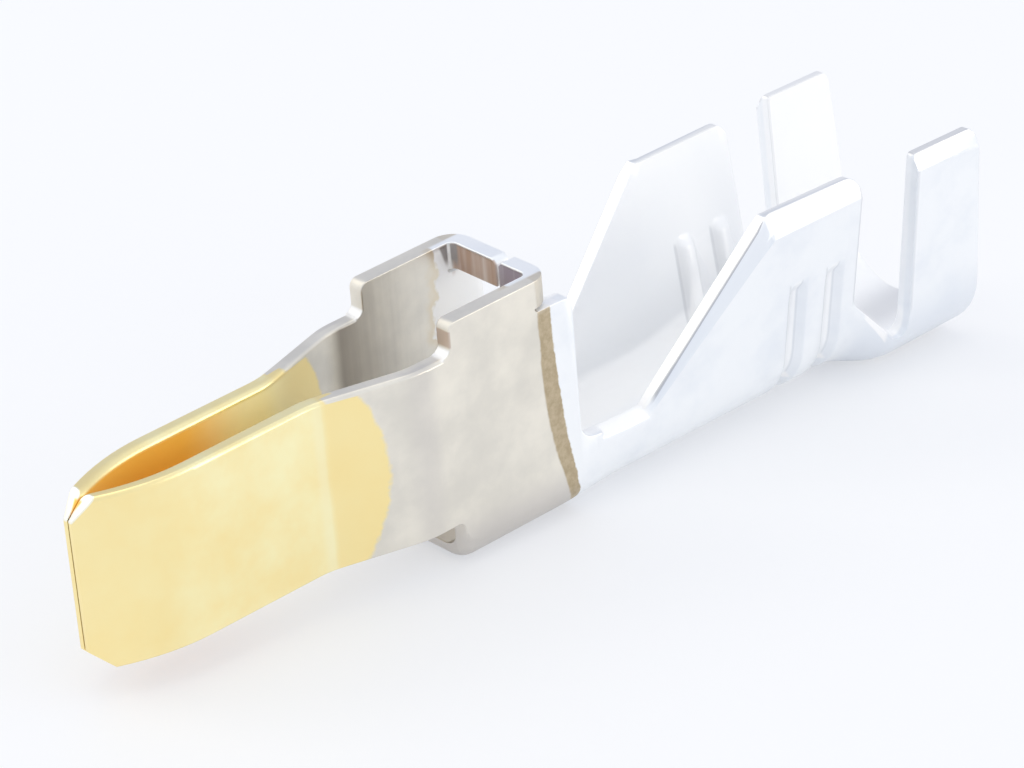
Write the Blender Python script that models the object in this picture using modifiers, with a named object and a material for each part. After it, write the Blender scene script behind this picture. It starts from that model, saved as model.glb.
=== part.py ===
"""Crimp contact of a power connector, stamped and folded from one strip of sheet metal.

From front to rear along X the strip forms a hollow blade of two leaves that meet at
the nose, an open box with two inturned tabs at its rear, a wire barrel with two
tall wings and pressed ribs, and a wider insulation barrel with two narrow wings.
The sheet is one U-shaped channel, lofted from its sections and trimmed to its side
outline. Lengths are in metres, X runs rearwards and Y is across the contact.
"""
import math

import bmesh
import bpy
from mathutils import Vector

MM = 0.001

# Sheet
SHEET = 0.50 * MM
EDGE_BREAK = 0.035 * MM
SEAM = 0.04 * MM

# Blade: two leaves, slotted open above and below
BLADE_LENGTH = 7.35 * MM
BLADE_WIDTH = 2.30 * MM
NOSE_FLAT = 0.34 * MM
NOSE_LENGTH = 3.30 * MM
NOSE_CHAMFER = 0.60 * MM
TAPER_LENGTH = 2.85 * MM
SHOULDER_LENGTH = 1.23 * MM
BEND_EASE = 0.35 * MM
LEAF_ROUND_FRONT = 0.26 * MM
LEAF_ROUND_REAR = 0.09 * MM
LEAF_BREAK = 0.09 * MM

# Box, and the steps up to its top and down to its floor from the blade
BOX_WIDTH = 4.00 * MM
BOX_HEIGHT = 7.54 * MM
BOX_CORNER = 0.90 * MM
BOX_LENGTH = 3.77 * MM
TOP_STEP = 0.95 * MM
FLOOR_STEP = 1.49 * MM
STEP_FILLET = 0.25 * MM
FOOT_FILLET = 0.22 * MM
FLOOR_EDGE_ROUND = SHEET * 0.84

# Tabs that close the rear of the box at its top
TAB_HEIGHT = 0.72 * MM
TAB_BEND = 0.20 * MM
TAB_SEAM_SIDE = -0.32 * MM
TAB_SEAM_GAP = 0.10 * MM
TAB_SEAM_CHAMFER = 0.16 * MM
TAB_SLOT = 0.22 * MM

# Short strip of wall behind the tabs, and the low side wall behind it
STRIP_LENGTH = 0.57 * MM
STRIP_CORNER = 0.18 * MM
SIDE_LENGTH = 2.33 * MM
SIDE_HEIGHT = 2.12 * MM
SIDE_FILLET = 0.45 * MM
FLARE_LENGTH = 1.88 * MM

# Wire barrel
WIRE_WIDTH = 4.50 * MM
WIRE_RADIUS = 2.10 * MM
WIRE_DROP_FRONT = 0.28 * MM
WIRE_DROP_REAR = 0.38 * MM
SLOPE_LENGTH = 4.32 * MM
WING_LENGTH = 3.68 * MM
WING_TOP = 6.52 * MM
WING_FALL = 0.10 * MM
WING_CORNER = 0.55 * MM
WING_LEAN_FOOT = math.radians(3.5)
WING_LEAN_FRONT = math.radians(8.0)
WING_LEAN_REAR = math.radians(9.0)

# Pressed ribs across the wire barrel
RIB_COUNT = 2
RIB_SETBACK = 1.36 * MM
RIB_PITCH = 1.44 * MM
RIB_WIDTH = 0.80 * MM
RIB_FLAT = 0.26 * MM
RIB_DEPTH = 0.22 * MM
RIB_TOP = 3.88 * MM
RIB_END_FALL = 0.24 * MM
RIB_RUN_OUT = 0.42 * MM

# Insulation barrel
NECK_LENGTH = 1.95 * MM
NECK_LOW = 0.28 * MM
NECK_FILLET = 0.22 * MM
CABLE_LENGTH = 2.72 * MM
CABLE_TAPER = 0.20 * MM
CABLE_WIDTH = 5.67 * MM
CABLE_RADIUS = 2.20 * MM
CABLE_LEAD = 0.60 * MM
CABLE_DROP = 0.79 * MM
CABLE_LEAN = math.radians(5.0)
CABLE_TOP = 6.33 * MM
CABLE_FALL = 0.08 * MM
CABLE_CORNER_FRONT = 0.14 * MM
CABLE_CORNER_REAR = 0.36 * MM

# Thinned outer edges of the walls, which roll inwards under the crimping tool
SCARF_HEIGHT = 0.80 * MM
SCARF_DEPTH = 0.30 * MM
SCARF_MITRE = 0.30 * MM
SLOPE_SCARF_DEPTH = 0.09 * MM
SIDE_SCARF_HEIGHT = 0.20 * MM
SIDE_SCARF_DEPTH = 0.36 * MM
SIDE_SCARF_START = 0.20 * MM
CABLE_SCARF_FRONT = 0.50 * MM
CABLE_SCARF_REAR = 0.75 * MM

# Fineness of the round stretches
CORNER_STEPS = 9
NOSE_STEPS = 10
ARC_STEPS = 7
TAB_STEPS = 8
RIM_STEPS = 5
RIB_STEPS = 4
EDGE_STEPS = 4

# Worked out from the sizes above
BEND_ONE = BLADE_LENGTH
BEND_TWO = BEND_ONE + TAPER_LENGTH
BOX_FRONT = BEND_TWO + SHOULDER_LENGTH
BOX_REAR = BOX_FRONT + BOX_LENGTH
BLADE_TOP = BOX_HEIGHT - TOP_STEP
TAB_OUTER_RADIUS = SHEET + TAB_BEND
TAB_START = BOX_REAR - TAB_OUTER_RADIUS
TAB_BOTTOM = BOX_HEIGHT - TAB_HEIGHT
STRIP_TOP = TAB_BOTTOM - TAB_SLOT
STRIP_REAR = BOX_REAR + STRIP_LENGTH
SIDE_START = STRIP_REAR + SIDE_FILLET
FLARE_START = STRIP_REAR - SIDE_FILLET
FLARE_END = FLARE_START + FLARE_LENGTH
WING_FOOT = STRIP_REAR + SIDE_LENGTH
WING_FRONT = WING_FOOT + SLOPE_LENGTH
WING_REAR = WING_FRONT + WING_LENGTH
RIB_CENTRES = [WING_FRONT + RIB_SETBACK + RIB_PITCH * n for n in range(RIB_COUNT)]
CABLE_FRONT = WING_REAR + NECK_LENGTH
CABLE_FOOT = CABLE_FRONT - CABLE_TAPER
CABLE_REAR = CABLE_FRONT + CABLE_LENGTH
NECK_END = CABLE_FRONT - CABLE_LEAD
OVERSHOOT = 0.6 * MM
LEVEL_GAP = 0.01 * MM
FLAT_WITHIN = math.radians(0.25)


def soft_line(x, points, ease):
    """Height at x of a line through the points, with its corners eased to parabolas."""
    slopes = [0.0]
    for (x0, y0), (x1, y1) in zip(points, points[1:]):
        slopes.append((y1 - y0) / (x1 - x0))
    slopes.append(0.0)
    height = points[0][1]
    for (corner, _), before, after in zip(points, slopes, slopes[1:]):
        offset = x - corner
        if offset >= ease:
            height += (after - before) * offset
        elif offset > -ease:  # inside the eased corner
            height += (after - before) * (offset + ease) ** 2 / (4 * ease)
    return height


def half_width(x):
    """Outer half width of the channel: parabolic nose, blade, taper, box and barrels."""
    blade = BLADE_WIDTH / 2
    if x < NOSE_LENGTH:
        back = 1 - x / NOSE_LENGTH
        return blade - (blade - NOSE_FLAT / 2) * back * back
    return soft_line(x, [
        (BEND_ONE, blade),
        (BEND_TWO, BOX_WIDTH / 2),
        (FLARE_START, BOX_WIDTH / 2),
        (FLARE_END, WIRE_WIDTH / 2),
        (WING_REAR, WIRE_WIDTH / 2),
        (NECK_END, CABLE_WIDTH / 2),
    ], BEND_EASE)


def floor_height(x):
    return soft_line(x, [
        (FLARE_START, 0.0),
        (FLARE_END, -WIRE_DROP_FRONT),
        (WING_REAR, -WIRE_DROP_REAR),
        (NECK_END, -CABLE_DROP),
    ], BEND_EASE)


def corner_radius(x):
    radius = soft_line(x, [
        (FLARE_START, BOX_CORNER),
        (FLARE_END, WIRE_RADIUS),
        (WING_REAR, WIRE_RADIUS),
        (NECK_END, CABLE_RADIUS),
    ], BEND_EASE)
    return min(radius, half_width(x) * 0.95)


def wall_lean(x):
    return soft_line(x, [
        (STRIP_REAR, 0.0),
        (WING_FOOT, WING_LEAN_FOOT),
        (WING_FRONT, WING_LEAN_FRONT),
        (WING_REAR, WING_LEAN_REAR),
        (NECK_END, CABLE_LEAN),
    ], BEND_EASE)


def straight_line(x, points):
    """Height at x of a line through the points, level before the first and after the last."""
    return soft_line(x, points, 0.0)


def leaf_edge(x):
    """Rows up a blade leaf's edge: round inside, more so towards the nose, and broken outside."""
    share = x / (BOX_FRONT - STEP_FILLET)
    radius = LEAF_ROUND_FRONT + (LEAF_ROUND_REAR - LEAF_ROUND_FRONT) * share
    radius = min(radius, (half_width(x) - SEAM / 2) * 0.6)
    rows = []
    for step in range(EDGE_STEPS + 1):
        turn = math.pi / 2 * step / EDGE_STEPS
        height = BLADE_TOP - radius + radius * math.sin(turn)
        outside = max(height - (BLADE_TOP - LEAF_BREAK), 0.0)
        rows.append((height, outside, radius * (1 - math.cos(turn))))
    return rows


def wing_edge(x):
    """Top of the wall, foot of its thinned edge and how much the edge is thinned."""
    if x < SIDE_START:
        return BOX_HEIGHT, BOX_HEIGHT - SCARF_HEIGHT, 0.0
    if x > CABLE_FRONT - EDGE_BREAK:
        share = (x - CABLE_FRONT) / CABLE_LENGTH
        scarf = CABLE_SCARF_FRONT + (CABLE_SCARF_REAR - CABLE_SCARF_FRONT) * share
        return CABLE_TOP, CABLE_TOP - scarf, SCARF_DEPTH
    mitre = WING_FRONT + SCARF_MITRE
    top = straight_line(x, [(WING_FOOT, SIDE_HEIGHT), (WING_FRONT, WING_TOP)])
    foot = straight_line(x, [
        (WING_FOOT, SIDE_HEIGHT - SIDE_SCARF_HEIGHT),
        (mitre, WING_TOP - SCARF_HEIGHT),
    ])
    thinning = straight_line(x, [
        (SIDE_START + SIDE_SCARF_START, 0.0),
        (SIDE_START + SIDE_SCARF_START * 2, SIDE_SCARF_DEPTH),
        (WING_FOOT - SIDE_SCARF_START, SIDE_SCARF_DEPTH),
        (WING_FOOT + SIDE_SCARF_START, SLOPE_SCARF_DEPTH),
        (WING_FRONT - SCARF_MITRE, SLOPE_SCARF_DEPTH),
        (mitre, SCARF_DEPTH),
    ])
    return top, foot, thinning


def edge_rows(x):
    """Rows up the wall's edge at x: height, and how far it is cut back outside and inside."""
    if x < BOX_FRONT - LEVEL_GAP:
        return leaf_edge(x)
    top, foot, thinning = wing_edge(x)
    shares = [step / EDGE_STEPS for step in range(EDGE_STEPS + 1)]
    return [(foot + (top - foot) * share, thinning * share, 0.0) for share in shares]


def rib_push(x):
    """Depth of the pressed ribs at x, and how far their round ends fall back there."""
    for centre in RIB_CENTRES:
        inside = RIB_WIDTH / 2 - abs(x - centre)
        if inside > 0:
            share = min(2 * inside / (RIB_WIDTH - RIB_FLAT), 1.0)
            rise = (1 - math.cos(math.pi * share)) / 2
            return RIB_DEPTH * rise, RIB_END_FALL * (1 - share) ** 2
    return 0.0, RIB_END_FALL


def rib_rows(x, ceiling):
    """Rows up the wall over the upper end of a rib: height and inward push at each."""
    push, fall = rib_push(x)
    end = min(RIB_TOP - fall, ceiling - LEVEL_GAP * 2)
    rows = []
    for step in range(RIB_STEPS + 1):
        share = step / RIB_STEPS
        height = end - RIB_RUN_OUT * (1 - share)
        rows.append((height, push * (1 + math.cos(math.pi * share)) / 2))
    rows.append((min(end + RIB_RUN_OUT / 2, ceiling - LEVEL_GAP), 0.0))
    return rows


def half_section(x):
    """Half of the channel's section at x, from the floor's outer middle to its inner one."""
    width, bottom, radius, lean = half_width(x), floor_height(x), corner_radius(x), wall_lean(x)
    push = rib_push(x)[0]
    thickness = min(SHEET, width - SEAM / 2)
    inner_radius = max(radius - thickness, 0.0)
    centre = Vector((width - radius, bottom + radius))
    normal = Vector((math.cos(lean), -math.sin(lean)))
    along = Vector((math.sin(lean), math.cos(lean)))

    def on_arc(step, distance):
        turn = -math.pi / 2 + (math.pi / 2 - lean) * step / CORNER_STEPS
        return centre + distance * Vector((math.cos(turn), math.sin(turn)))

    def on_wall(height, distance):
        start = centre + distance * normal
        return start + along * (height - start.y) / along.y

    edge = edge_rows(x)
    levels = [(height, shift, 0.0, 0.0) for height, shift in rib_rows(x, edge[0][0])]
    levels += [(height, 0.0, outside, inside) for height, outside, inside in edge]
    levels.append((edge[-1][0] + OVERSHOOT, 0.0, edge[-1][1], edge[-1][2]))
    levels = [(max(height, centre.y + LEVEL_GAP * (n + 1)), shift, outside, inside)
              for n, (height, shift, outside, inside) in enumerate(levels)]

    outer = [Vector((0.0, bottom + push))]
    outer += [on_arc(step, radius - push) for step in range(CORNER_STEPS + 1)]
    outer += [on_wall(height, radius - shift - outside) for height, shift, outside, _ in levels]
    inner = [Vector((0.0, bottom + push + thickness))]
    inner += [on_arc(step, inner_radius - push) for step in range(CORNER_STEPS + 1)]
    inner += [on_wall(height, radius - thickness - shift + inside)
              for height, shift, _, inside in levels]
    return outer + inner[::-1]


def stations():
    """Places along X where the channel's section is laid out, denser where it changes."""
    places = [NOSE_LENGTH * step / NOSE_STEPS for step in range(NOSE_STEPS + 1)]
    for bend in (BEND_ONE, BEND_TWO, FLARE_START, FLARE_END, WING_REAR, NECK_END):
        places += [bend + BEND_EASE * share for share in (-1, -0.33, 0.33, 1)]
    slant = (RIB_WIDTH - RIB_FLAT) / 2
    for centre in RIB_CENTRES:
        for side in (-1, 1):
            places += [centre + side * (RIB_WIDTH / 2 - slant * step / RIB_STEPS)
                       for step in range(RIB_STEPS + 1)]
    places += [BOX_FRONT - STEP_FILLET, BOX_FRONT, (FLARE_START + FLARE_END) / 2]
    places += [SIDE_START - EDGE_BREAK, SIDE_START + SIDE_SCARF_START,
               SIDE_START + SIDE_SCARF_START * 2]
    places += [WING_FOOT - SIDE_SCARF_START, WING_FOOT, WING_FOOT + SIDE_SCARF_START]
    places += [WING_FRONT - SCARF_MITRE, WING_FRONT, WING_FRONT + SCARF_MITRE]
    places += [CABLE_FRONT - EDGE_BREAK * 2, CABLE_FRONT, CABLE_REAR + OVERSHOOT]
    return sorted(set(places))


def new_object(name, mesh, collection):
    thing = bpy.data.objects.new(name, mesh)
    collection.objects.link(thing)
    return thing


def channel_mesh():
    """Half of the channel, open at its middle plane, as a loft through its sections."""
    bm = bmesh.new()
    rows = []
    for x in stations():
        rows.append([bm.verts.new((x, point.x, point.y)) for point in half_section(x)])
    for front, back in zip(rows, rows[1:]):
        for n in range(len(front) - 1):
            bm.faces.new((front[n], back[n], back[n + 1], front[n + 1]))
    bm.faces.new(rows[0])
    bm.faces.new(rows[-1][::-1])
    bmesh.ops.recalc_face_normals(bm, faces=bm.faces)
    mesh = bpy.data.meshes.new("channel")
    bm.to_mesh(mesh)
    bm.free()
    return mesh


def rounded_outline(corners):
    """Points of a closed outline whose corners (x, z, radius) are rounded by arcs."""
    outline = []
    count = len(corners)
    for n, (x, z, radius) in enumerate(corners):
        here = Vector((x, z))
        if radius == 0:
            outline.append(here)
            continue
        before = (Vector(corners[n - 1][:2]) - here).normalized()
        after = (Vector(corners[(n + 1) % count][:2]) - here).normalized()
        half = before.angle(after) / 2
        reach = radius / math.tan(half)
        centre = here + (before + after).normalized() * radius / math.sin(half)
        start = here + before * reach - centre
        sweep = start.angle_signed(here + after * reach - centre)
        for step in range(ARC_STEPS + 1):
            turn = -sweep * step / ARC_STEPS
            spoke = Vector((start.x * math.cos(turn) - start.y * math.sin(turn),
                            start.x * math.sin(turn) + start.y * math.cos(turn)))
            outline.append(centre + spoke)
    return outline


def flat_outline(name, outline, depth):
    """A closed outline in its own XY plane, as a curve thickened by depth to a mesh."""
    curve = bpy.data.curves.new(name, "CURVE")
    curve.dimensions = "2D"
    curve.fill_mode = "BOTH"
    curve.extrude = depth / 2
    spline = curve.splines.new("POLY")
    spline.points.add(len(outline) - 1)
    for point, place in zip(spline.points, outline):
        point.co = (place.x, place.y, 0.0, 1.0)
    spline.use_cyclic_u = True
    shape = new_object(name, curve, bpy.context.scene.collection)
    bpy.context.view_layer.update()
    graph = bpy.context.evaluated_depsgraph_get()
    mesh = bpy.data.meshes.new_from_object(shape.evaluated_get(graph))
    bpy.data.objects.remove(shape)
    bpy.data.curves.remove(curve)
    bm = bmesh.new()
    bm.from_mesh(mesh)
    bmesh.ops.remove_doubles(bm, verts=bm.verts, dist=0.001 * MM)
    bmesh.ops.recalc_face_normals(bm, faces=bm.faces)
    bm.to_mesh(mesh)
    bm.free()
    mesh.name = name
    return mesh


def side_outline():
    """The strip's outline seen from the side, from the nose round over the top."""
    low = -CABLE_DROP - OVERSHOOT
    return rounded_outline([
        (0.0, FLOOR_STEP + NOSE_CHAMFER, 0),
        (0.0, BLADE_TOP - NOSE_CHAMFER, 0),
        (NOSE_CHAMFER, BLADE_TOP, 0),
        (BOX_FRONT, BLADE_TOP, STEP_FILLET),
        (BOX_FRONT, BOX_HEIGHT, STEP_FILLET),
        (TAB_START, BOX_HEIGHT, 0),
        (TAB_START, TAB_BOTTOM, 0),
        (TAB_START, STRIP_TOP, TAB_SLOT / 2),
        (STRIP_REAR, STRIP_TOP, STRIP_CORNER),
        (STRIP_REAR, SIDE_HEIGHT, SIDE_FILLET),
        (WING_FOOT, SIDE_HEIGHT, 0),
        (WING_FRONT, WING_TOP, 0),
        (WING_REAR, WING_TOP - WING_FALL, WING_CORNER),
        (WING_REAR, SIDE_HEIGHT, SIDE_FILLET),
        (CABLE_FOOT - NECK_FILLET, NECK_LOW, NECK_FILLET),
        (CABLE_FOOT, NECK_LOW + SIDE_FILLET, NECK_FILLET),
        (CABLE_FRONT, CABLE_TOP, CABLE_CORNER_FRONT),
        (CABLE_REAR - CABLE_TAPER, CABLE_TOP - CABLE_FALL, CABLE_CORNER_REAR),
        (CABLE_REAR, 0.0, 0),
        (CABLE_REAR, low, 0),
        (BOX_FRONT, low, 0),
        (BOX_FRONT, FLOOR_STEP, FOOT_FILLET),
        (NOSE_CHAMFER, FLOOR_STEP, 0),
    ])


def side_trimmer(collection):
    """Prism of the side outline, wide enough to pass through both walls."""
    mesh = flat_outline("side_outline", side_outline(), CABLE_WIDTH * 2)
    trimmer = new_object("side_trimmer", mesh, collection)
    trimmer.rotation_euler = (math.pi / 2, 0, 0)
    return trimmer


def add_boolean(thing, operation, tool):
    step = thing.modifiers.new(tool.name, "BOOLEAN")
    step.operation = operation
    step.solver = "EXACT"
    step.object = tool
    tool.hide_render = True
    tool.display_type = "WIRE"


def apply_modifiers(thing):
    bpy.context.view_layer.update()
    graph = bpy.context.evaluated_depsgraph_get()
    finished = bpy.data.meshes.new_from_object(thing.evaluated_get(graph))
    thing.modifiers.clear()
    thing.data = finished
    finished.name = thing.name


def only_faces(geometry):
    return [item for item in geometry if isinstance(item, bmesh.types.BMFace)]


def fold_tab(bm, side):
    """Folds the upper rear end of one wall inwards, across the rear of the box."""
    ends = []
    for face in bm.faces:
        middle = face.calc_center_median()
        at_end = abs(middle.x - TAB_START) < LEVEL_GAP and middle.z > TAB_BOTTOM
        if at_end and side * middle.y > 0:
            ends.append(face)
    hinge = (TAB_START, side * (BOX_WIDTH / 2 - TAB_OUTER_RADIUS), 0)
    bend = bmesh.ops.spin(bm, geom=ends, cent=hinge, axis=(0, 0, -side),
                          angle=math.pi / 2, steps=TAB_STEPS, use_duplicate=False)
    bent = only_faces(bend["geom_last"])
    leaf = bmesh.ops.extrude_face_region(bm, geom=bent)
    bmesh.ops.delete(bm, geom=ends + bent, context="FACES_ONLY")
    seam = TAB_SEAM_SIDE + side * TAB_SEAM_GAP / 2
    end = [item for item in leaf["geom"] if isinstance(item, bmesh.types.BMVert)]
    for vert in end:
        vert.co.y = seam
    upper = [edge for face in only_faces(leaf["geom"]) for edge in face.edges
             if all(vert.co.z > BOX_HEIGHT - LEVEL_GAP for vert in edge.verts)]
    bmesh.ops.bevel(bm, geom=upper, offset=TAB_SEAM_CHAMFER, segments=1,
                    affect="EDGES", profile=0.5)


def round_floor_edge(bm):
    """Rounds the outer edge of the box floor's front end, up to the walls."""
    bm.normal_update()
    rim = []
    for edge in bm.edges:
        at_front = all(abs(vert.co.x - BOX_FRONT) < LEVEL_GAP and vert.co.z < BOX_CORNER + LEVEL_GAP
                       for vert in edge.verts)
        outward = [face for face in edge.link_faces if face.normal.z < -0.05
                   and abs(face.normal.x) < 0.5]
        if at_front and outward:
            rim.append(edge)
    bmesh.ops.bevel(bm, geom=rim, offset=FLOOR_EDGE_ROUND, segments=RIM_STEPS, affect="EDGES",
                    profile=0.5)


def finish_by_hand(thing):
    """Joins flat faces of the trimmed channel, rounds its floor's edge and folds its tabs."""
    bm = bmesh.new()
    bm.from_mesh(thing.data)
    bmesh.ops.remove_doubles(bm, verts=bm.verts, dist=0.002 * MM)
    bmesh.ops.dissolve_limit(bm, angle_limit=FLAT_WITHIN, verts=bm.verts, edges=bm.edges)
    round_floor_edge(bm)
    for side in (1, -1):
        fold_tab(bm, side)
    bmesh.ops.recalc_face_normals(bm, faces=bm.faces)
    bm.to_mesh(thing.data)
    bm.free()


def plated_alloy():
    """Plated copper alloy: tin behind, nickel and pale gold in front, taken together."""
    finish = bpy.data.materials.new("plated_alloy")
    finish.use_nodes = True
    shader = finish.node_tree.nodes["Principled BSDF"]
    shader.inputs["Base Color"].default_value = (0.80, 0.77, 0.68, 1.0)
    shader.inputs["Metallic"].default_value = 1.0
    shader.inputs["Roughness"].default_value = 0.28
    return finish


def lay_down(thing):
    """Lays the contact on its box and its insulation barrel, centred over the origin."""
    reach = NECK_END - BOX_FRONT
    thing.rotation_euler = (0, -math.atan2(CABLE_DROP, reach), 0)
    bpy.context.view_layer.update()
    corners = [thing.matrix_world @ vert.co for vert in thing.data.vertices]
    middle = (min(place.x for place in corners) + max(place.x for place in corners)) / 2
    thing.location = (-middle, 0, -min(place.z for place in corners))


def build():
    for thing in list(bpy.data.objects):
        bpy.data.objects.remove(thing)
    parts = bpy.data.collections.new("crimp_contact")
    tools = bpy.data.collections.new("cutters")
    for group in (parts, tools):
        bpy.context.scene.collection.children.link(group)
    contact = new_object("contact", channel_mesh(), parts)
    mirror = contact.modifiers.new("other_half", "MIRROR")
    mirror.use_axis = (False, True, False)
    mirror.merge_threshold = 0.001 * MM
    add_boolean(contact, "INTERSECT", side_trimmer(tools))
    apply_modifiers(contact)
    finish_by_hand(contact)
    contact.data.materials.append(plated_alloy())
    lay_down(contact)


build()
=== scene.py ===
import math

import bmesh
import bpy
from mathutils import Euler, Matrix, Vector
from mathutils.bvhtree import BVHTree


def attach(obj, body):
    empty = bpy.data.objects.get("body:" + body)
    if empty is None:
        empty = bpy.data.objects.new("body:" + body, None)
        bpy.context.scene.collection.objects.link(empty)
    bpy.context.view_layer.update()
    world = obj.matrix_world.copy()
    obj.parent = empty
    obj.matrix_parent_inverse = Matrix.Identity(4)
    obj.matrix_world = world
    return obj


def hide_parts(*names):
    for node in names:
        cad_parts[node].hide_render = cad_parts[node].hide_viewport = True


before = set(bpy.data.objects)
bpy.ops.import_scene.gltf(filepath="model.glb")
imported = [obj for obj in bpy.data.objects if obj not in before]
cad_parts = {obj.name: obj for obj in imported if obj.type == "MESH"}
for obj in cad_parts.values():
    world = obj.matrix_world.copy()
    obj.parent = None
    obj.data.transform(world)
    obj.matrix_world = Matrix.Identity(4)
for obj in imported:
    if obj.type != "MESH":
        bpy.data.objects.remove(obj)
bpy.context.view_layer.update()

# Formed sheet: the whole contact, one strip of copper alloy about half a millimetre thick,
# blanked and folded in a progressive die. It lies tilted, so its edges are picked out in the
# strip's own frame, in millimetres. They are slightly broken and catch the light as lines.
MM = 0.001
STRIP_PLACE = (-15.2383 * MM, 0.0, -0.5773 * MM)
STRIP_TILT = math.radians(-2.8232)
SIDE_WALL_FRONT = 16.3
WIRE_FRONT = 18.10
MITRE_FROM = 21.9
NECK_MIDDLE = 27.0
CABLE_FRONT = 28.05
SCARF_RISE = 0.8225
SIDE_SCARF_FOOT = 1.92
WING_SCARF_FOOT = 5.72
CABLE_SCARF_FOOT = 5.83
CABLE_SCARF_FALL = 0.092
SCARF_MARGIN = 0.04
SCARF_FOOT_FROM = math.radians(4)
SCARF_RIDGE_FROM = math.radians(12)
MERGE_DISTANCE = 0.001
FLAT_WITHIN = math.radians(0.3)
BOX_FLAT_WITHIN = math.radians(0.8)
BOX_END = 15.5
SHORT_EDGE = 0.012
EDGE_FROM = math.radians(38)
EDGE_WIDTH = 0.042
EDGE_STEPS = 2
STRAY_FROM = 0.03
SMOOTH_WITHIN = math.radians(50)


def scarf_foot(along):
    """Height of the line at which the outer edges of the wings begin to thin."""
    if along > NECK_MIDDLE:
        return CABLE_SCARF_FOOT - (along - CABLE_FRONT) * CABLE_SCARF_FALL
    return min(SIDE_SCARF_FOOT + max(along - WIRE_FRONT, 0.0) * SCARF_RISE, WING_SCARF_FOOT)


def on_scarf(edge, angle):
    """True for a crease at the foot of a wing's thinned edge, or a strong one above it."""
    front = min(vert.co.x for vert in edge.verts)
    heights = [vert.co.z - scarf_foot(vert.co.x) for vert in edge.verts]
    if front < SIDE_WALL_FRONT or min(heights) < -SCARF_MARGIN:
        return False
    if max(heights) < SCARF_MARGIN:
        return angle > SCARF_FOOT_FROM
    return angle > SCARF_RIDGE_FROM and front > MITRE_FROM


sheet = bpy.data.objects.new("formed_sheet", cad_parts["contact"].data.copy())
bpy.context.scene.collection.objects.link(sheet)
strip_frame = Matrix.LocRotScale(
    Vector(STRIP_PLACE), Euler((0.0, STRIP_TILT, 0.0)), Vector((MM, MM, MM)))
bm = bmesh.new()
bm.from_mesh(sheet.data)
bm.transform(strip_frame.inverted())
bmesh.ops.remove_doubles(bm, verts=bm.verts, dist=MERGE_DISTANCE)
bmesh.ops.dissolve_limit(bm, angle_limit=FLAT_WITHIN, verts=bm.verts, edges=bm.edges)
box_verts = [vert for vert in bm.verts if vert.co.x < BOX_END]
box_edges = [edge for edge in bm.edges if max(vert.co.x for vert in edge.verts) < BOX_END]
bmesh.ops.dissolve_limit(bm, angle_limit=BOX_FLAT_WITHIN, verts=box_verts, edges=box_edges)
bmesh.ops.dissolve_degenerate(bm, dist=SHORT_EDGE, edges=bm.edges)
unbroken = BVHTree.FromBMesh(bm)
crisp = bm.edges.layers.int.new("crisp")
cut_edges = []
for edge in bm.edges:
    angle = edge.calc_face_angle()
    if angle > EDGE_FROM:
        cut_edges.append(edge)
    elif on_scarf(edge, angle):
        edge[crisp] = 1
bmesh.ops.bevel(bm, geom=cut_edges, offset=EDGE_WIDTH, offset_type="WIDTH", segments=EDGE_STEPS,
                affect="EDGES", profile=0.5, material=-1, clamp_overlap=False)
for vert in bm.verts:
    on_sheet, _, _, distance = unbroken.find_nearest(vert.co)
    if distance > STRAY_FROM:
        vert.co = on_sheet
for edge in bm.edges:
    edge.smooth = edge[crisp] == 0 and edge.calc_face_angle(0.0) < SMOOTH_WITHIN
for face in bm.faces:
    face.smooth = True
bm.transform(strip_frame)
bm.to_mesh(sheet.data)
bm.free()
even_shading = sheet.modifiers.new("even_shading", "WEIGHTED_NORMAL")
even_shading.keep_sharp = True
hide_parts("contact")
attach(sheet, "root")


# Plating: the strip is spot-plated in zones, with satin gold on the blade, satin nickel on the
# box and bright tin on the barrels. Each zone is laid out in the strip's own frame, in
# millimetres: x along it from the nose, y across it and z up from under the floor of the box.
class Signal:
    """A number or colour that varies over the sheet, written as ordinary arithmetic."""

    def __init__(self, finish, socket):
        self.finish, self.socket = finish, socket

    def maths(self, operation, *others):
        inputs = dict(enumerate((self,) + others))
        return self.finish.node("ShaderNodeMath", {"operation": operation}, inputs)

    def __add__(self, other):
        return self.maths("ADD", other)

    __radd__ = __add__

    def __mul__(self, other):
        return self.maths("MULTIPLY", other)

    __rmul__ = __mul__

    def __sub__(self, other):
        return self.maths("SUBTRACT", other)

    def __rsub__(self, other):
        return self * -1.0 + other

    def __abs__(self):
        return self.maths("ABSOLUTE")

    def past(self, start, most=None):
        """How far the number is above start: never below 0, nor above most."""
        gone = (self - start).maths("MAXIMUM", 0.0)
        return gone if most is None else gone.maths("MINIMUM", most)

    def short_of(self, end):
        """How far the number is below end: never below 0."""
        return (end - self).maths("MAXIMUM", 0.0)

    def rises(self, start, end):
        """0 below start, 1 above end, and smooth between them; start may be above end."""
        return self.finish.node(
            "ShaderNodeMapRange", {"interpolation_type": "SMOOTHSTEP"},
            {"Value": self, "From Min": start, "From Max": end})

    def within(self, start, end, lead, trail):
        """1 from start to end, and smooth to 0 over lead before them and trail after them."""
        return self.rises(start - lead, start) * self.rises(end + trail, end)


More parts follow.
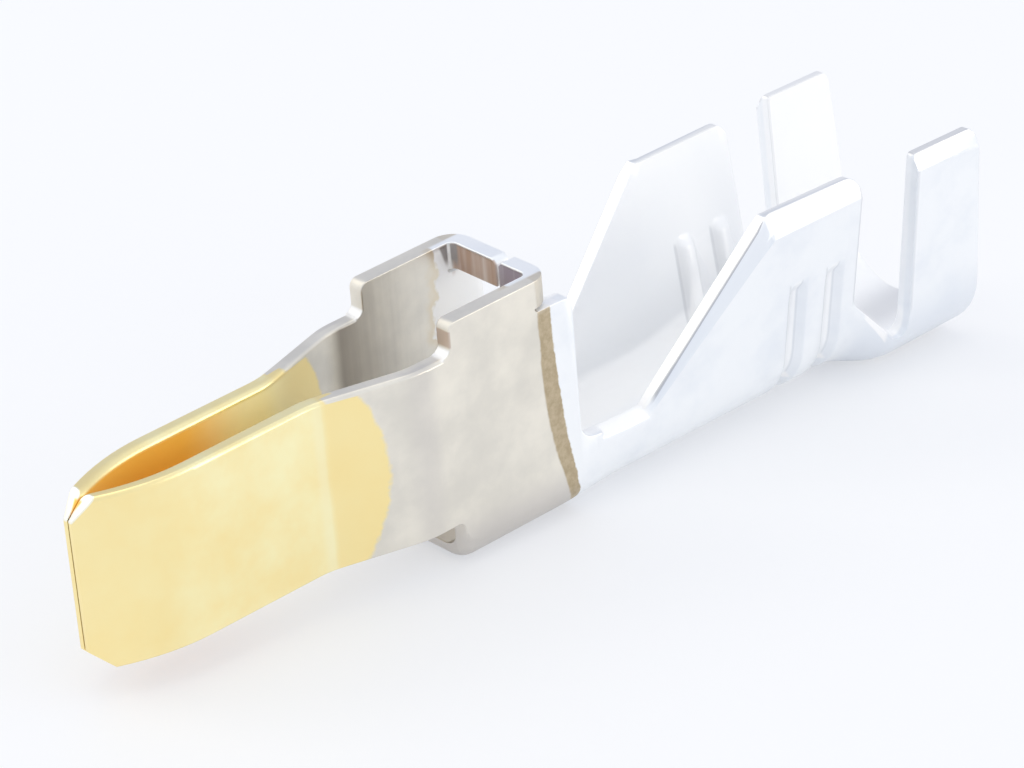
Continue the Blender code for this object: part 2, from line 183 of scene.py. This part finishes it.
class Finish:
    """The nodes of one material, or of the world."""

    def __init__(self, owner):
        owner.use_nodes = True
        self.tree = owner.node_tree

    def feed(self, socket, value):
        if isinstance(value, Signal):
            self.tree.links.new(value.socket, socket)
        else:
            socket.default_value = value

    def node(self, kind, settings, inputs, output=0):
        made = self.tree.nodes.new(kind)
        for key, value in settings.items():
            setattr(made, key, value)
        for key, value in inputs.items():
            self.feed(made.inputs[key], value)
        return Signal(self, made.outputs[output])

    def blend(self, share, first, second):
        """A colour between first and second."""
        return self.node("ShaderNodeMix", {"data_type": "RGBA"},
                         {0: share, 6: first, 7: second}, output=2)

    def cloud(self, place, size, detail=3.0, rough=0.55):
        """Smooth noise between 0 and 1 with patches of about the size given, in millimetres."""
        return self.node("ShaderNodeTexNoise", {},
                         {"Vector": place, "Scale": 1.0 / size, "Detail": detail,
                          "Roughness": rough})


plated_alloy = bpy.data.materials.new("plated_alloy")
plating = Finish(plated_alloy)
on_strip = plating.node(
    "ShaderNodeMapping", {"vector_type": "TEXTURE"},
    {"Vector": plating.node("ShaderNodeTexCoord", {}, {}, output="Object"),
     "Location": STRIP_PLACE, "Rotation": (0.0, STRIP_TILT, 0.0), "Scale": (MM, MM, MM)})
x = plating.node("ShaderNodeSeparateXYZ", {}, {"Vector": on_strip}, output="X")
y = plating.node("ShaderNodeSeparateXYZ", {}, {"Vector": on_strip}, output="Y")
z = plating.node("ShaderNodeSeparateXYZ", {}, {"Vector": on_strip}, output="Z")
side = abs(y)
near_side = y.rises(0.5, -0.5)


def drawn_cloud(squeeze, size):
    """Noise drawn out into lines that run up the walls."""
    squeezed = plating.node("ShaderNodeVectorMath", {"operation": "MULTIPLY"},
                            {0: on_strip, 1: (1.0, 1.0, squeeze)})
    return plating.cloud(squeezed, size, 2.0)


ragged = plating.cloud(on_strip, 0.45) - 0.5
fine_ragged = plating.cloud(on_strip, 0.12) - 0.5
mottle = plating.cloud(on_strip, 1.6, 4.0)
speckle = plating.cloud(on_strip, 0.22, 3.0, 0.7)
streaks = drawn_cloud(0.12, 0.16)
drawn = drawn_cloud(0.06, 0.30)

# Gold: the blade is plated up to a curved, slightly ragged line behind its bend. The two leaves
# face each other across the slot and mirror one another there, so the gold inside is painted
# deep and warm towards the nose and yellow further back, as painted reflection. The taper
# carries painted shade, a painted highlight runs along the bend, and the nose's top corner is
# cut off and carries a painted highlight.
SHEET = 0.50
NOSE_LENGTH = 3.30
NOSE_DRAW_IN = 0.98
BLADE_LENGTH = 7.35
BLADE_WIDTH = 2.30
BLADE_MIDDLE = 4.10
BLADE_TOP = 6.47
TAPER_LENGTH = 2.85
TAPER_SPREAD = 0.85
LEAF_BLUR = 0.06
CHAMFER_PLANE = 5.95
GOLD_REACH = 9.29
GOLD_BOW = 0.12
GOLD_INSIDE_LAG = 0.45
GOLD_EDGE_LEAD = 0.9
GOLD_PALE = (1.0, 0.94, 0.58, 1.0)
GOLD_DEEP = (0.98, 0.80, 0.38, 1.0)
GOLD_HIGHLIGHT = (1.0, 0.96, 0.66, 1.0)
SLOT_REFLECTION_ORANGE = (1.0, 0.60, 0.10, 1.0)
SLOT_REFLECTION_YELLOW = (1.0, 0.90, 0.50, 1.0)
NOSE_HIGHLIGHT = (1.0, 1.0, 0.93, 1.0)
leaf_middle = (BLADE_WIDTH - SHEET) / 2
draw_in = x.short_of(NOSE_LENGTH) * (1.0 / NOSE_LENGTH)
spread = x.past(BLADE_LENGTH, TAPER_LENGTH) * (TAPER_SPREAD / TAPER_LENGTH)
from_leaf = side - spread - leaf_middle + draw_in * draw_in * NOSE_DRAW_IN
on_inside = from_leaf.rises(LEAF_BLUR, -LEAF_BLUR)
off_middle = z - BLADE_MIDDLE
gold_line = (GOLD_REACH - off_middle * off_middle * GOLD_BOW + on_inside * GOLD_INSIDE_LAG
             - z.rises(BLADE_TOP - 0.01, BLADE_TOP + 0.02) * GOLD_EDGE_LEAD
             + ragged * 0.30 + fine_ragged * 0.1)
gold = (gold_line - x).rises(-0.05, 0.09)
painted_taper_shade = x.within(BLADE_LENGTH + 0.37, BLADE_LENGTH + TAPER_LENGTH, 0.22, 0.4)
bend_highlight = x.within(BLADE_LENGTH + 0.05, BLADE_LENGTH + 0.15, 0.24, 0.10) * (1.0 - on_inside)
on_chamfer = (z - x).rises(CHAMFER_PLANE - 0.02, CHAMFER_PLANE + 0.02)
slot_wall = (on_inside * x.rises(BLADE_LENGTH + 1.25, BLADE_LENGTH + 0.05)
             * z.rises(BLADE_TOP, BLADE_TOP - 0.09))
gold_colour = plating.blend(mottle.rises(0.10, 0.85), GOLD_DEEP, GOLD_PALE)
# Painted shade: the taper is painted a deeper gold, and the gold also deepens towards the nose.
gold_colour = plating.blend(painted_taper_shade * 0.75 + x.rises(4.2, 0.8) * 0.6, gold_colour, GOLD_DEEP)
# A painted highlight runs along the first bend.
gold_colour = plating.blend(bend_highlight * 0.35, gold_colour, GOLD_HIGHLIGHT)
# A painted highlight lies on the cut-off top corner of the nose.
gold_colour = plating.blend(on_chamfer * 0.8, gold_colour, NOSE_HIGHLIGHT)
# Painted reflection on the slot's walls: yellow towards the bend, deep orange towards the nose.
gold_colour = plating.blend(slot_wall * x.rises(4.4, 6.4), gold_colour, SLOT_REFLECTION_YELLOW)
gold_colour = plating.blend(slot_wall * x.rises(6.6, 4.2), gold_colour, SLOT_REFLECTION_ORANGE)

# Nickel: the box is satin nickel. Inside it the walls face each other, so they are painted
# darker as painted shade, with lines from the die. Painted shade also lies across the second
# bend and along the foot of the box's front. The inner faces of the tabs and the cut face of
# the front step show the copper alloy, and the corners beside the tabs are painted dark as
# painted shade.
SECOND_BEND = BLADE_LENGTH + TAPER_LENGTH
BOX_FRONT = 11.43
BOX_RIM = 7.51
INNER_WALL = 1.50
INNER_CORNER = 1.72
TAB_FACE = 14.70
SEAM_SIDE = -0.32
NICKEL_PALE = (0.87, 0.83, 0.74, 1.0)
NICKEL_DARK = (0.74, 0.71, 0.64, 1.0)
NICKEL_DRAWN_SHADE = (0.46, 0.43, 0.40, 1.0)
NICKEL_SHADE = (0.63, 0.60, 0.57, 1.0)
CORNER_SHADE = (0.36, 0.34, 0.34, 1.0)
COPPER = (0.48, 0.33, 0.25, 1.0)
COPPER_DARK = (0.33, 0.28, 0.33, 1.0)
wall_inside = (side.rises(INNER_WALL + 0.06, INNER_WALL)
               * x.rises(SECOND_BEND, SECOND_BEND + 0.4))
wall_shade = 1.10 - drawn * 0.5 - x.rises(SECOND_BEND, SECOND_BEND + 2.8) * 0.85
second_bend_shade = (x.within(SECOND_BEND + 0.15, SECOND_BEND + 0.25, 0.75, 0.65)
                  * (1.0 - on_inside))
low_front_shade = z.rises(1.9, 0.7) * x.rises(BOX_FRONT - 0.63, BOX_FRONT - 0.03)
at_step = (x.within(BOX_FRONT - 0.23, BOX_FRONT + 0.07, 0.15, 0.15) * z.rises(6.3, 6.45)
           * side.within(INNER_WALL + 0.04, INNER_WALL + SHEET - 0.04, 0.04, 0.04))
step_face = (x.within(BOX_FRONT - 0.04, BOX_FRONT + 0.02, 0.05, 0.05)
             * z.within(6.86, 7.28, 0.08, 0.06) * y.rises(-1.4, -1.5))
tab_inside = (x.within(TAB_FACE - 0.02, TAB_FACE + 0.02, 0.08, 0.08)
              * side.rises(INNER_WALL + 0.02, INNER_WALL - 0.04)
              * z.within(6.6, BOX_RIM - 0.04, 0.2, 0.04))
wall_by_tab = (side.rises(INNER_WALL - 0.10, INNER_WALL - 0.03)
               * (x + (z - 7.4) * 0.3).rises(TAB_FACE - 0.46, TAB_FACE - 0.36)
               * x.rises(TAB_FACE - 0.14, TAB_FACE - 0.20))
tab_by_wall = side.rises(1.22, 1.34) * x.within(TAB_FACE - 0.06, TAB_FACE, 0.04, 0.04)
# Painted shade in the inner corners beside the tabs.
corner_shade = ((wall_by_tab + tab_by_wall) * side.rises(INNER_CORNER, 1.6)
               * z.within(7.10, BOX_RIM - 0.05, 0.38, 0.05))
nickel_colour = plating.blend(mottle.rises(0.30, 0.72), NICKEL_DARK, NICKEL_PALE)
# Painted shade darkens the inner walls, with lines from the die in it.
nickel_colour = plating.blend(wall_inside * wall_shade, nickel_colour, NICKEL_DRAWN_SHADE)
# Painted shade lies across the second bend and along the foot of the box's front.
nickel_colour = plating.blend(second_bend_shade * 0.45 + low_front_shade * 0.8,
                              nickel_colour, NICKEL_SHADE)
copper_colour = plating.blend(y.rises(-0.2, -0.45), COPPER, COPPER_DARK)
tab_share = 0.35 + drawn * 1.1 + y.rises(SEAM_SIDE + 0.02, SEAM_SIDE - 0.18) * 0.2

# Bare alloy: the gap between the nickel and the tin is the strip's own alloy, stained brown, in
# a line that leans back towards the floor. Inside the box the tin reaches further forward and
# ends in a ragged tan fringe.
BAND_START = 14.52
BAND_STRAIGHT_FROM = 5.0
BAND_START_BOW = 0.038
BAND_END = 15.0
BAND_END_BOW = 0.0175
BAND_TOP = 6.5
STRIP_TOP = 6.6
INSIDE_TIN_FROM = 13.9
BARE_PALE = (0.57, 0.48, 0.34, 1.0)
BARE_DARK = (0.46, 0.375, 0.25, 1.0)
FRINGE_TAN = (0.76, 0.69, 0.56, 1.0)
below_straight = z.short_of(BAND_STRAIGHT_FROM)
below_top = BAND_TOP - z.maths("MAXIMUM", 0.3)
band_start = below_straight * below_straight * BAND_START_BOW + BAND_START + ragged * 0.10
band_end = (below_top * below_top * BAND_END_BOW + BAND_END + ragged * 0.16
            + fine_ragged * 0.06)
box_inside = side.rises(INNER_CORNER, 1.6) * z.rises(0.3, 0.42)
inner_line = INSIDE_TIN_FROM + (plating.cloud(on_strip, 0.9) - 0.5) * 1.1
tin_outside = (x - band_end).rises(0.0, 0.06)
tin_inside = (x - inner_line).rises(0.0, 0.12)
band = ((x - band_start).rises(0.0, 0.08) * (1.0 - tin_outside) * (1.0 - box_inside)
        * (1.0 - z.rises(STRIP_TOP - 0.15, STRIP_TOP + 0.15) * 0.7))
fringe = (x - inner_line).rises(-0.35, 0.0) * (1.0 - tin_inside) * box_inside
bare_colour = plating.blend(speckle.rises(0.30, 0.70), BARE_DARK, BARE_PALE)

# Tin: both barrels and the strip up to them are bright tin. Painted light makes it brightest
# inside the barrels and the box, with painted light on the groove floors and painted highlights
# on the top of the low side walls and the neck's cut edge. Painted shade makes it greyer along
# the foot of the walls, the thinned edges, the pressed ribs, the cut faces and the belly, and
# lies in thin dark lines along the sheared edges.
WING_FRONT = 22.42
WING_REAR = 26.10
WING_TOP = 6.52
WING_FALL = 0.0272
CABLE_TOP = 6.33
CABLE_FALL = 0.0294
BARREL_RADIUS = 2.0
BARREL_BLUR = 0.06
BARREL_AXIS = 1.8
FOOT_LEAN = 0.061
LEAN_GAIN = 0.0115
NECK_REACH = 1.35
NECK_LEAN_LOSS = 0.052
NECK_DROP = 0.29
NECK_WIDENING = 0.433
SIDE_TOP = 2.12
SLOPE_RISE = 1.0185
MITRE_LEAN = 0.35
FLARE_FRONT = 18.3
FLARE_SIDE = 2.2
FLARE = 0.152
FOOT_FRONT = 19.85
FOOT_HEIGHT = 0.98
FOOT_RISE = 0.18
RIB_CENTRES = (23.78, 25.22)
RIB_TOP = 3.88
NECK_CUT_FRONT = 26.31
NECK_CUT_TOP = 2.0
NECK_CUT_FALL = 1.45
CABLE_CUT = 27.824
CABLE_CUT_LEAN = 0.0355
TIN_PALE = (0.93, 0.95, 0.97, 1.0)
TIN_DARK = (0.86, 0.89, 0.93, 1.0)
TIN_PAINTED_LIGHT = (0.98, 0.985, 0.99, 1.0)
TIN_SHADE = (0.77, 0.81, 0.87, 1.0)
TIN_GREY_SHADE = (0.80, 0.815, 0.835, 1.0)
TIN_SHADE_LINE = (0.36, 0.37, 0.41, 1.0)


def on_ribs(start, end, lead, trail):
    """1 between two places that are measured from the middle of each rib."""
    front, rear = [(x - centre).within(start, end, lead, trail) for centre in RIB_CENTRES]
    return front + rear


def on_top_edge(front, height, fall):
    """1 on the level top edge of a wing, which falls a little from its front to its rear."""
    return (z - height + (x - front) * fall).rises(-0.05, -0.02)


tin = tin_outside + (tin_inside - tin_outside) * box_inside
neck = x.past(WING_REAR, NECK_REACH)
lean = x.past(WIRE_FRONT, 8.0) * LEAN_GAIN + FOOT_LEAN - neck * NECK_LEAN_LOSS
axis = BARREL_AXIS - neck * NECK_DROP
below_axis = axis.past(z)
from_axis = (side * side + below_axis * below_axis).maths("SQRT") - z.past(axis) * lean
in_barrel = ((from_axis - neck * NECK_WIDENING).rises(BARREL_RADIUS + BARREL_BLUR,
                                                      BARREL_RADIUS - BARREL_BLUR)
             * x.rises(15.8, 16.2))
outside = 1.0 - in_barrel

low_wall = (x.within(SIDE_WALL_FRONT + 0.3, WIRE_FRONT - 0.05, 0.15, 0.20)
            * z.rises(SIDE_TOP - 0.22, SIDE_TOP - 0.17))
below_rim = box_inside * z.rises(BOX_RIM - 0.05, BOX_RIM - 0.13)
notch_top = (z.within(STRIP_TOP - 0.005, STRIP_TOP + 0.02, 0.01, 0.03)
             * x.within(TAB_FACE - 0.06, BAND_END + 0.3, 0.06, 0.10))
under_edge = SIDE_TOP + (x - WIRE_FRONT) * SLOPE_RISE - z
behind_mitre = x - WING_FRONT - (WING_TOP - z) * MITRE_LEAN
on_slope = (x.rises(WIRE_FRONT + 0.1, WIRE_FRONT + 0.4) * behind_mitre.rises(0.0, -0.06)
            * outside)
above_scarf = z - SIDE_SCARF_FOOT - (x - WIRE_FRONT) * SCARF_RISE
thinned = on_slope * above_scarf.rises(-0.03, 0.02) * under_edge.rises(0.03, 0.06)
cut_corner = (side - FLARE_SIDE - (x - FLARE_FRONT) * FLARE).rises(-0.09, -0.06)
slope_line = on_slope * cut_corner * under_edge.rises(0.08, 0.05) * near_side

in_groove = z.within(0.4, RIB_TOP - 0.06, 0.7, 0.13) * outside
groove_floor = in_groove * on_ribs(-0.13, 0.10, 0.07, 0.04) * z.rises(0.6, 1.4)
groove_wall = in_groove * on_ribs(0.16, 0.35, 0.06, 0.08)
groove_line = in_groove * (on_ribs(-0.35, -0.32, 0.04, 0.04)
                           + on_ribs(0.12, 0.16, 0.04, 0.04) * 0.7)
on_rib = in_barrel * z.within(1.2, RIB_TOP - 0.33, 0.3, 0.2)
rib_side = on_rib * on_ribs(-0.41, -0.36, 0.05, 0.26)
rib_line = on_rib * on_ribs(-0.42, -0.38, 0.04, 0.06)

above_foot = z - FOOT_HEIGHT - (x - FOOT_FRONT) * FOOT_RISE
wall_foot = (in_barrel * x.rises(WING_REAR, WING_REAR - 1.1) * side.rises(0.8, 1.3)
             * above_foot.rises(-0.16, 0.18) * above_foot.rises(2.1, 0.0))
behind_cut = x - CABLE_CUT - z * CABLE_CUT_LEAN
beside_cut = x.rises(CABLE_FRONT - 0.35, CABLE_FRONT - 0.25) * z.rises(1.1, 1.5)
cut_front = beside_cut * behind_cut.rises(0.06, 0.03) * near_side
rear_line = (x.within(WING_REAR - 0.05, WING_REAR + 0.05, 0.03, 0.05)
             * z.rises(2.0, 2.3) * near_side)
cut_line = beside_cut * behind_cut.within(0.02, 0.08, 0.02, 0.03) + rear_line * 1.8
above_neck_cut = z + (x - NECK_CUT_FRONT) * NECK_CUT_FALL - NECK_CUT_TOP
neck_edge = (x.within(WING_REAR + 0.42, WING_REAR + 1.0, 0.10, 0.15) * outside
             * above_neck_cut.rises(-0.33, -0.25))
cable_floor = (in_barrel * x.rises(CABLE_FRONT - 0.15, CABLE_FRONT + 1.25)
               * side.rises(1.3, 0.1))
belly = x.rises(WING_REAR - 0.4, WING_REAR + 0.5) * z.rises(2.2, 0.5) * outside
wing_top = (on_top_edge(WING_FRONT, WING_TOP, WING_FALL)
            * x.within(WING_FRONT + 0.08, WING_REAR + 0.10, 0.1, 0.1)
            + on_top_edge(CABLE_FRONT, CABLE_TOP, CABLE_FALL)
            * x.rises(CABLE_FRONT - 0.15, CABLE_FRONT - 0.05) * (0.9 + near_side * 0.7))

# Painted shade on the thinned edges, the groove walls, the belly and the front cut face.
tin_shade = thinned * 0.8 + groove_wall * 0.3 + belly * 0.8 + cut_front * 0.4
# Painted shade in thin dark lines: along the slope's cut edge, the grooves, the ribs, the wing
# tops, the cut faces and the floor of the cable barrel.
tin_shade_line = (slope_line * 0.7 + groove_line * 0.25 + wing_top * 0.3 + cable_floor * 0.35
            + rib_line * 0.2 + cut_line * 0.15)
tin_colour = plating.blend(mottle.rises(0.25, 0.60), TIN_DARK, TIN_PALE)
# Painted light brightens the inside of the barrels.
tin_colour = plating.blend(in_barrel * 0.85, tin_colour, TIN_PAINTED_LIGHT)
tin_colour = plating.blend(tin_shade, tin_colour, TIN_SHADE)
# Greyer painted shade on the rib flanks and the foot of the barrels' inner walls.
tin_colour = plating.blend(rib_side * 0.4 + wall_foot * 0.75, tin_colour, TIN_GREY_SHADE)
tin_colour = plating.blend(tin_shade_line, tin_colour, TIN_SHADE_LINE)
# Painted highlights on the top of the low side walls and the neck's cut edge, and painted light
# inside the box and on the groove floors.
tin_colour = plating.blend(low_wall + below_rim + groove_floor * 0.7 + neck_edge,
                           tin_colour, TIN_PAINTED_LIGHT)

# Surface: the zones lie over one another in the order in which they are plated. The tin is the
# haziest, so it is less of a mirror than the gold and the nickel, and a fine grain from rolling
# lies under all of them.
BODY_ROUGHNESS = 0.32
GRAIN_STRENGTH = 0.18
GRAIN_DEPTH = 0.02 * MM
colour = plating.blend(gold, nickel_colour, gold_colour)
colour = plating.blend(fringe, colour, FRINGE_TAN)
colour = plating.blend(band, colour, bare_colour)
colour = plating.blend(tin, colour, tin_colour)
colour = plating.blend(tab_inside * tab_share, colour, copper_colour)
colour = plating.blend(step_face * 0.6, colour, COPPER)
# Painted shade, with streaks, in the corners beside the tabs.
colour = plating.blend(corner_shade * (0.6 + drawn * 0.9), colour, CORNER_SHADE)
# Painted highlights on the step below the rim and on the top of the notch behind the tab.
colour = plating.blend(at_step * z.rises(6.80, 6.72) * 0.8 + notch_top * 0.9,
                       colour, TIN_PAINTED_LIGHT)
roughness = (BODY_ROUGHNESS + speckle * 0.10 - gold * 0.04 + band * 0.12 - tin * 0.02
             + at_step * 0.2)
tin_haze = (in_barrel * 0.35 + below_rim * 0.55 + low_wall * 0.5 + belly * 0.3
            + neck_edge * 0.5 + 0.35)
metallic = (1.0 - slot_wall * gold * 0.9 - tin * tin_haze - tab_inside * 0.35
            - at_step * 0.45 - notch_top * (1.0 - tin) * 0.6)
grain = plating.node(
    "ShaderNodeBump", {},
    {"Strength": GRAIN_STRENGTH, "Distance": GRAIN_DEPTH,
     "Height": speckle * 0.6 + streaks * 0.5 + mottle * 0.8}, output="Normal")
metal = plating.tree.nodes["Principled BSDF"]
plating.feed(metal.inputs["Base Color"], colour)
plating.feed(metal.inputs["Roughness"], roughness)
plating.feed(metal.inputs["Metallic"], metallic)
plating.feed(metal.inputs["Normal"], grain)
sheet.data.materials.clear()
sheet.data.materials.append(plated_alloy)

# Table: a glossy white plate that the contact lies on. It is lit from within, so it stays
# white in the picture and in the metal, and takes only a soft shadow.
TABLE_SIDE = 1.6
TABLE_ROUGHNESS = 0.45
TABLE_SPECULAR = 0.25
TABLE_WHITE = (0.95, 0.94, 0.93, 1.0)
GLOW_WHITE = (0.91, 0.94, 1.0, 1.0)
GLOW_SHARE = 0.5
table_mesh = bpy.data.meshes.new("table")
bm = bmesh.new()
bmesh.ops.create_grid(bm, x_segments=1, y_segments=1, size=TABLE_SIDE / 2)
bm.to_mesh(table_mesh)
bm.free()
table = bpy.data.objects.new("table", table_mesh)
bpy.context.scene.collection.objects.link(table)
gloss_white = bpy.data.materials.new("gloss_white")
gloss = Finish(gloss_white)
plate = gloss.tree.nodes["Principled BSDF"]
plate.inputs["Base Color"].default_value = TABLE_WHITE
plate.inputs["Roughness"].default_value = TABLE_ROUGHNESS
plate.inputs["Specular IOR Level"].default_value = TABLE_SPECULAR
seen = gloss.node("ShaderNodeLightPath", {}, {}, output="Is Camera Ray")
mirrored = gloss.node("ShaderNodeLightPath", {}, {}, output="Is Glossy Ray")
glow = gloss.node("ShaderNodeEmission", {}, {"Color": GLOW_WHITE, "Strength": 1.0})
surface = gloss.node(
    "ShaderNodeMixShader", {},
    {0: (seen + mirrored) * GLOW_SHARE, 1: Signal(gloss, plate.outputs[0]), 2: glow})
gloss.feed(gloss.tree.nodes["Material Output"].inputs["Surface"], surface)
table.data.materials.append(gloss_white)

# Studio: an even pale tent, greyer at the far right, and three soft boxes: one high at the
# back left, one low at the front right, and one overhead.
TENT_WHITE = (0.88, 0.915, 0.985, 1.0)
TENT_GREY = (0.66, 0.69, 0.79, 1.0)
GREY_TOWARDS = (0.72, 0.60, 0.35)
GREY_START = 0.55
GREY_FULL = 0.95
LAMP_COLOUR = (1.0, 0.90, 0.72)
SOFT_BOXES = {
    "back_left_box": ((-0.26, 0.36, 0.34), 0.26, 0.45),
    "front_right_box": ((0.30, -0.42, 0.12), 0.24, 0.40),
    "overhead_box": ((-0.05, -0.05, 0.50), 0.34, 0.32),
}
world = bpy.data.worlds.new("tent")
bpy.context.scene.world = world
tent = Finish(world)
towards_grey = tent.node(
    "ShaderNodeVectorMath", {"operation": "DOT_PRODUCT"},
    {0: tent.node("ShaderNodeTexCoord", {}, {}, output="Generated"),
     1: Vector(GREY_TOWARDS).normalized()}, output="Value")
tent_colour = tent.blend(towards_grey.rises(GREY_START, GREY_FULL), TENT_WHITE, TENT_GREY)
tent.feed(tent.tree.nodes["Background"].inputs["Color"], tent_colour)
for name, (spot, across, power) in SOFT_BOXES.items():
    lamp = bpy.data.lights.new(name, "AREA")
    lamp.shape = "SQUARE"
    lamp.size = across
    lamp.energy = power
    lamp.color = LAMP_COLOUR
    box = bpy.data.objects.new(name, lamp)
    box.location = spot
    box.rotation_euler = (-Vector(spot)).to_track_quat("-Z", "Y").to_euler()
    bpy.context.scene.collection.objects.link(box)

# Camera: about 14 cm away, at the front left and above the contact, which nearly fills the
# picture through a long lens. It is held with a slight roll.
AIM = Vector((-0.2618, -0.0004, 3.5754)) * MM
CAMERA_DISTANCE = 137.715 * MM
CAMERA_TURN = math.radians(41.397)
CAMERA_RISE = math.radians(27.319)
CAMERA_ROLL = math.radians(-2.412)
LENS = 176.75
SENSOR_WIDTH = 36.0
back = Vector((-math.sin(CAMERA_TURN) * math.cos(CAMERA_RISE),
               -math.cos(CAMERA_TURN) * math.cos(CAMERA_RISE), math.sin(CAMERA_RISE)))
lens = bpy.data.cameras.new("camera")
lens.lens = LENS
lens.sensor_width = SENSOR_WIDTH
lens.clip_start = 5 * MM
camera = bpy.data.objects.new("camera", lens)
camera.location = AIM + back * CAMERA_DISTANCE
camera.rotation_euler = (-back).to_track_quat("-Z", "Y").to_euler()
camera.rotation_euler.rotate_axis("Z", CAMERA_ROLL)
bpy.context.scene.collection.objects.link(camera)
bpy.context.scene.camera = camera
bpy.context.scene.view_settings.view_transform = "Standard"
